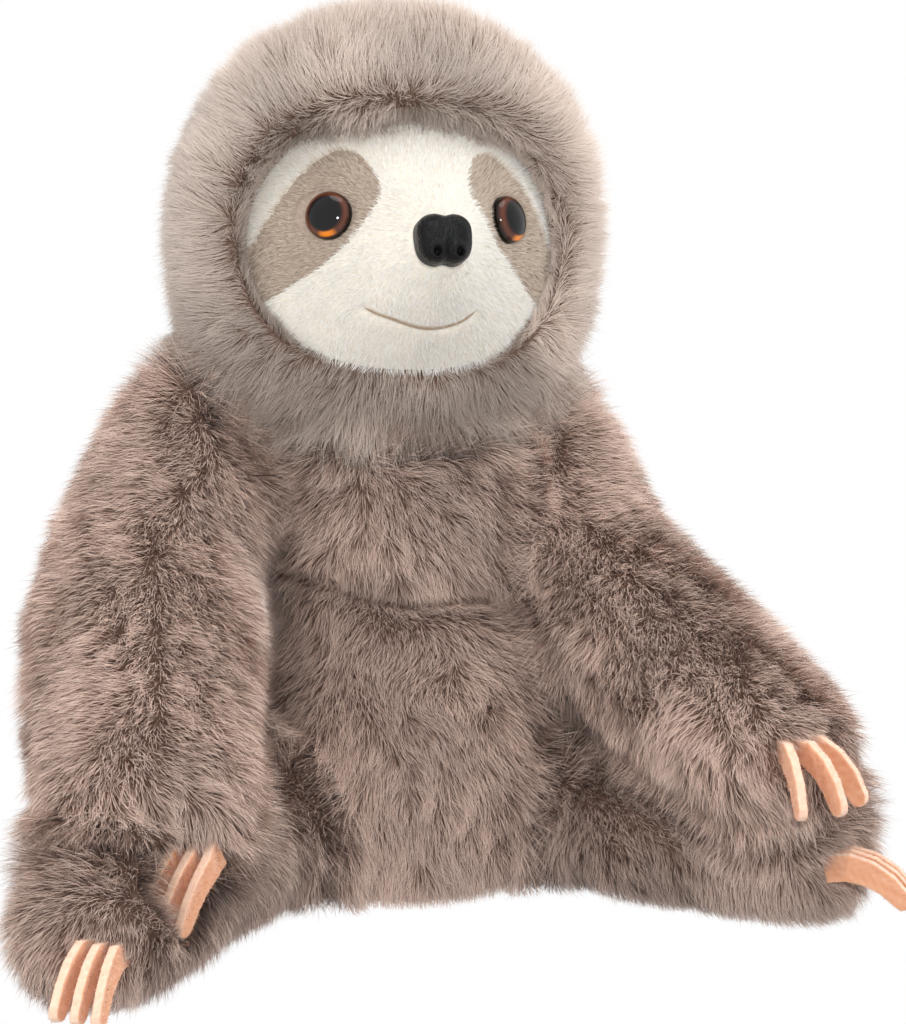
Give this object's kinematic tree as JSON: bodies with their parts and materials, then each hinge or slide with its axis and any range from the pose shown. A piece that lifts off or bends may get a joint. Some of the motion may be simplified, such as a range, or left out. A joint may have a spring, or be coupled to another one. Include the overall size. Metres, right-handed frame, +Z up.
{
  "type": "plush sloth toy",
  "caption": "Sitting stuffed sloth: long-pile hood, torso and limbs, a short-pile bulging face with inset eyes and nose, and felt claws on its paws.",
  "frame": {"origin": "on the floor under the torso, in the toy's middle plane and on its neck's line", "axes": "+Z up, -Y the way that the toy faces, +X to the toy's own left"},
  "size_m": [0.2811, 0.217, 0.278],
  "materials": {
    "fur_front": "long-pile plush, dark roots and paler tips",
    "fur_back": "long-pile plush, dark roots and paler tips",
    "fur_head": "long-pile plush, dark roots and paler tips",
    "fur_limb": "long-pile plush, dark roots and paler tips",
    "face_pile": "short-pile plush",
    "patch_pile": "short-pile plush",
    "claw_felt": "pressed felt",
    "eye_amber": "clear moulded amber",
    "eye_black": "moulded",
    "nose_black": "moulded, pebbled",
    "washer": "moulded",
    "stuffing": "loose fibre"
  },
  "bodies": {
    "torso": {"chest_panel": "fur_front", "belly_panel": "fur_front", "back_panel": "fur_back", "torso_stuffing": "stuffing"},
    "head": {"hood": "fur_head", "head_stuffing": "stuffing", "face_panel": "face_pile", "eye_patch_left": "patch_pile", "eye_patch_right": "patch_pile", "eye_back_left": "eye_black", "eye_back_right": "eye_black", "eye_lens_left": "eye_amber", "eye_lens_right": "eye_amber", "eye_washer_left": "washer", "eye_washer_right": "washer", "nose": "nose_black", "nose_washer": "washer"},
    "arm_left": {"arm_left_fur": "fur_limb", "arm_left_stuffing": "stuffing", "arm_left_claw_inner": "claw_felt", "arm_left_claw_middle": "claw_felt", "arm_left_claw_outer": "claw_felt"},
    "arm_right": {"arm_right_fur": "fur_limb", "arm_right_stuffing": "stuffing", "arm_right_claw_inner": "claw_felt", "arm_right_claw_middle": "claw_felt", "arm_right_claw_outer": "claw_felt"},
    "leg_left": {"leg_left_fur": "fur_limb", "leg_left_stuffing": "stuffing", "leg_left_claw_inner": "claw_felt", "leg_left_claw_middle": "claw_felt", "leg_left_claw_outer": "claw_felt"},
    "leg_right": {"leg_right_fur": "fur_limb", "leg_right_stuffing": "stuffing", "leg_right_claw_inner": "claw_felt", "leg_right_claw_middle": "claw_felt", "leg_right_claw_outer": "claw_felt"}
  },
  "joints": [
    {"name": "neck_turn", "type": "hinge", "parent": "torso", "child": "head", "pos_m": [0, 0.005, 0.1375], "axis": [0, 0, 1], "range_deg": [-25, 25], "stiffness_Nm_per_rad": 0.05},
    {"name": "shoulder_left_swing", "type": "hinge", "parent": "torso", "child": "arm_left", "pos_m": [0.055, 0.003, 0.13], "axis": [1, 0, 0], "range_deg": [-45, 0]},
    {"name": "shoulder_right_swing", "type": "hinge", "parent": "torso", "child": "arm_right", "pos_m": [-0.066, 0.003, 0.141], "axis": [1, 0, 0], "range_deg": [-45, 0]},
    {"name": "hip_left_swing", "type": "hinge", "parent": "torso", "child": "leg_left", "pos_m": [0.042, -0.02, 0.0245], "axis": [1, 0, 0], "range_deg": [0, 35], "stiffness_Nm_per_rad": 1},
    {"name": "hip_right_swing", "type": "hinge", "parent": "torso", "child": "leg_right", "pos_m": [-0.042, -0.02, 0.0245], "axis": [1, 0, 0], "range_deg": [0, 35], "stiffness_Nm_per_rad": 1}
  ]
}
